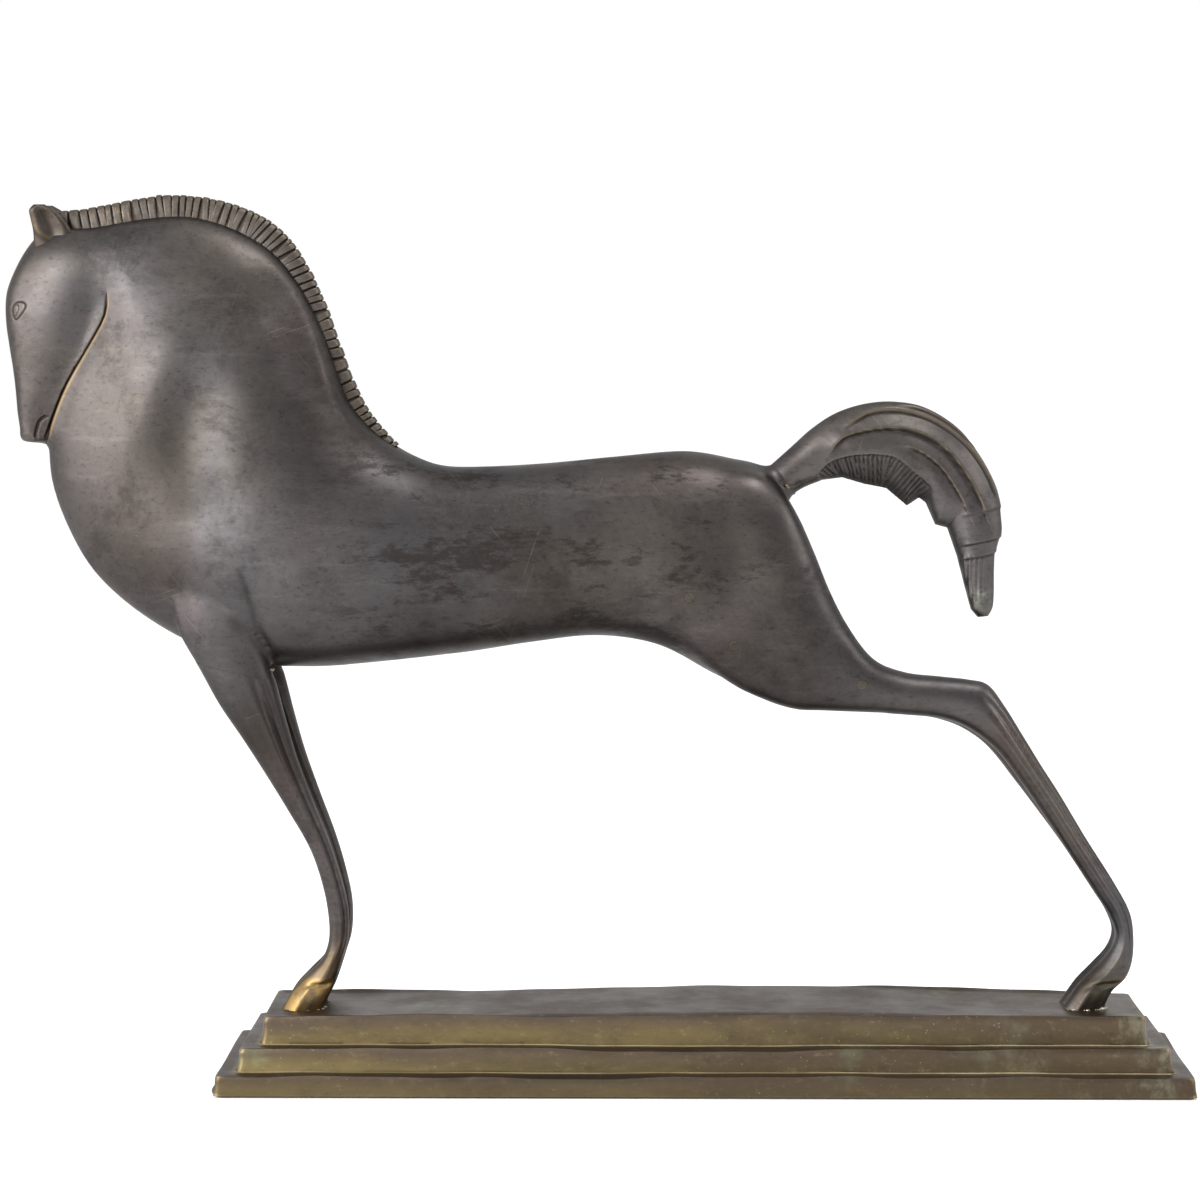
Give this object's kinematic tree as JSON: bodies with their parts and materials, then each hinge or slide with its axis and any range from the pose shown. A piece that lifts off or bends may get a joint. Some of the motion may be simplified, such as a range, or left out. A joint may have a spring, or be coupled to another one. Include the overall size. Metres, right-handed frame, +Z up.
{
  "type": "horse statue",
  "caption": "Standing bronze horse with arched neck, notched mane, raised plume tail and long slim legs, brazed to a stepped rectangular plinth",
  "frame": {"origin": "centre of the underside of the felt", "axes": "+Z up, horse faces -X, its left side is -Y"},
  "size_m": [0.5391, 0.1, 0.4073],
  "materials": {
    "dark_bronze": "dark brown patina, waxed, brushed",
    "mane_bronze": "dark patina rubbed to brass on the ribs",
    "leg_bronze": "dark brown patina, worn to gold at the hooves",
    "tail_bronze": "dark greenish patina",
    "olive_brass": "olive brown patina, semi-gloss",
    "braze": "bright braze metal",
    "plug_bronze": "pale brown patina",
    "felt": "dark felt"
  },
  "bodies": {
    "root": {"body_shell_left": "dark_bronze", "body_shell_right": "dark_bronze", "mane_comb": "mane_bronze", "ear_left": "mane_bronze", "ear_right": "mane_bronze", "foreleg_left": "leg_bronze", "foreleg_right": "leg_bronze", "hindleg_left": "leg_bronze", "hindleg_right": "leg_bronze", "tail": "tail_bronze", "plinth": "olive_brass", "base_felt": "felt", "elbow_braze": "braze", "tail_braze": "braze", "fore_hoof_braze": "braze", "hind_hoof_braze": "braze", "core_pin_plugs": "plug_bronze"}
  },
  "joints": []
}
